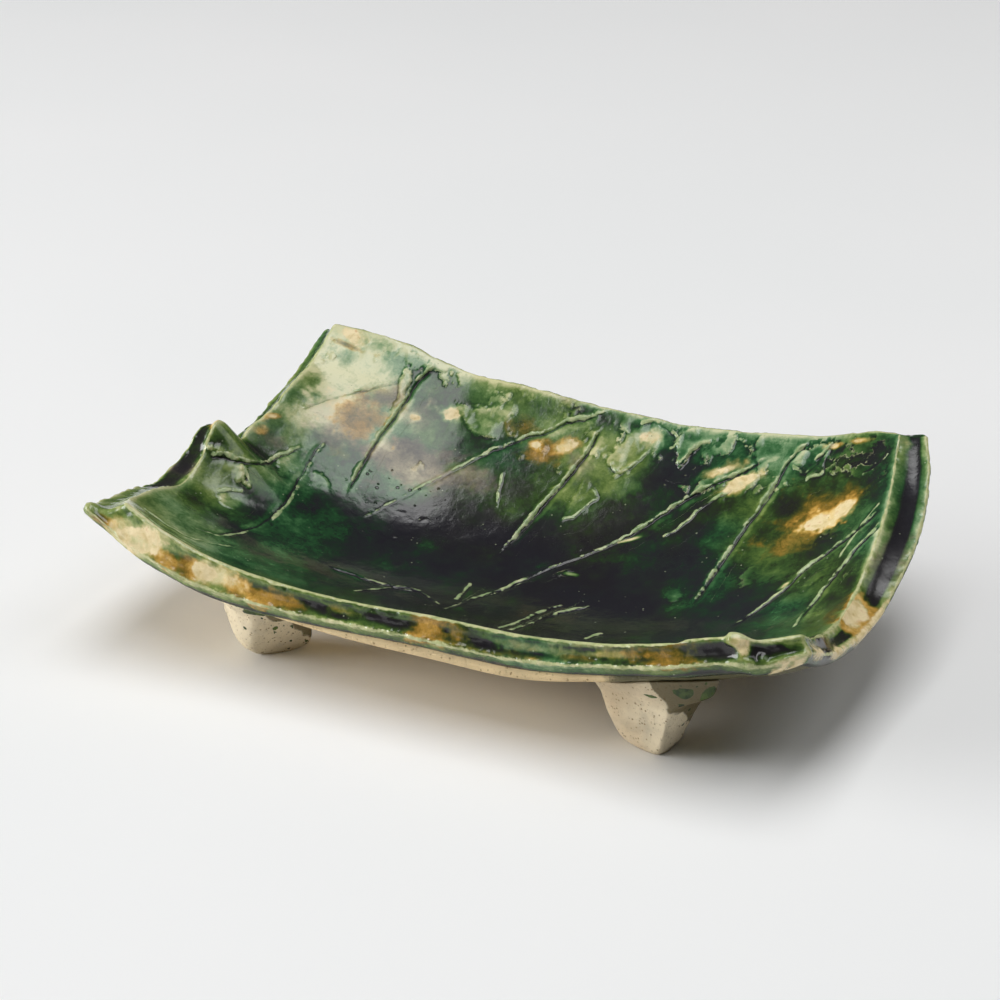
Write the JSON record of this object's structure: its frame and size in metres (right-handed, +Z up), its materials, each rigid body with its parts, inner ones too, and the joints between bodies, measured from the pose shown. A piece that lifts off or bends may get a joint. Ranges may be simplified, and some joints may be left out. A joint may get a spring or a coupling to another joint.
{
  "type": "footed oblong plate",
  "caption": "Hand-built oblong stoneware plate with curled torn edges, green glaze and pinched feet.",
  "frame": {"origin": "centre of the plate's plan outline, on the table that the feet stand on", "axes": "+X along the length towards the right end, +Y from the front edge to the higher back edge, +Z up"},
  "size_m": [0.3016, 0.181, 0.0806],
  "materials": {
    "bare_clay": "matte unglazed stoneware",
    "green_glaze": "glossy mottled glaze",
    "foot_clay": "matte speckled stoneware"
  },
  "bodies": {
    "root": {"plate_slab": "bare_clay", "glaze_coat": "green_glaze", "foot_front_left": "foot_clay", "foot_front_right": "foot_clay", "foot_back_left": "foot_clay", "foot_back_right": "foot_clay"}
  },
  "joints": []
}
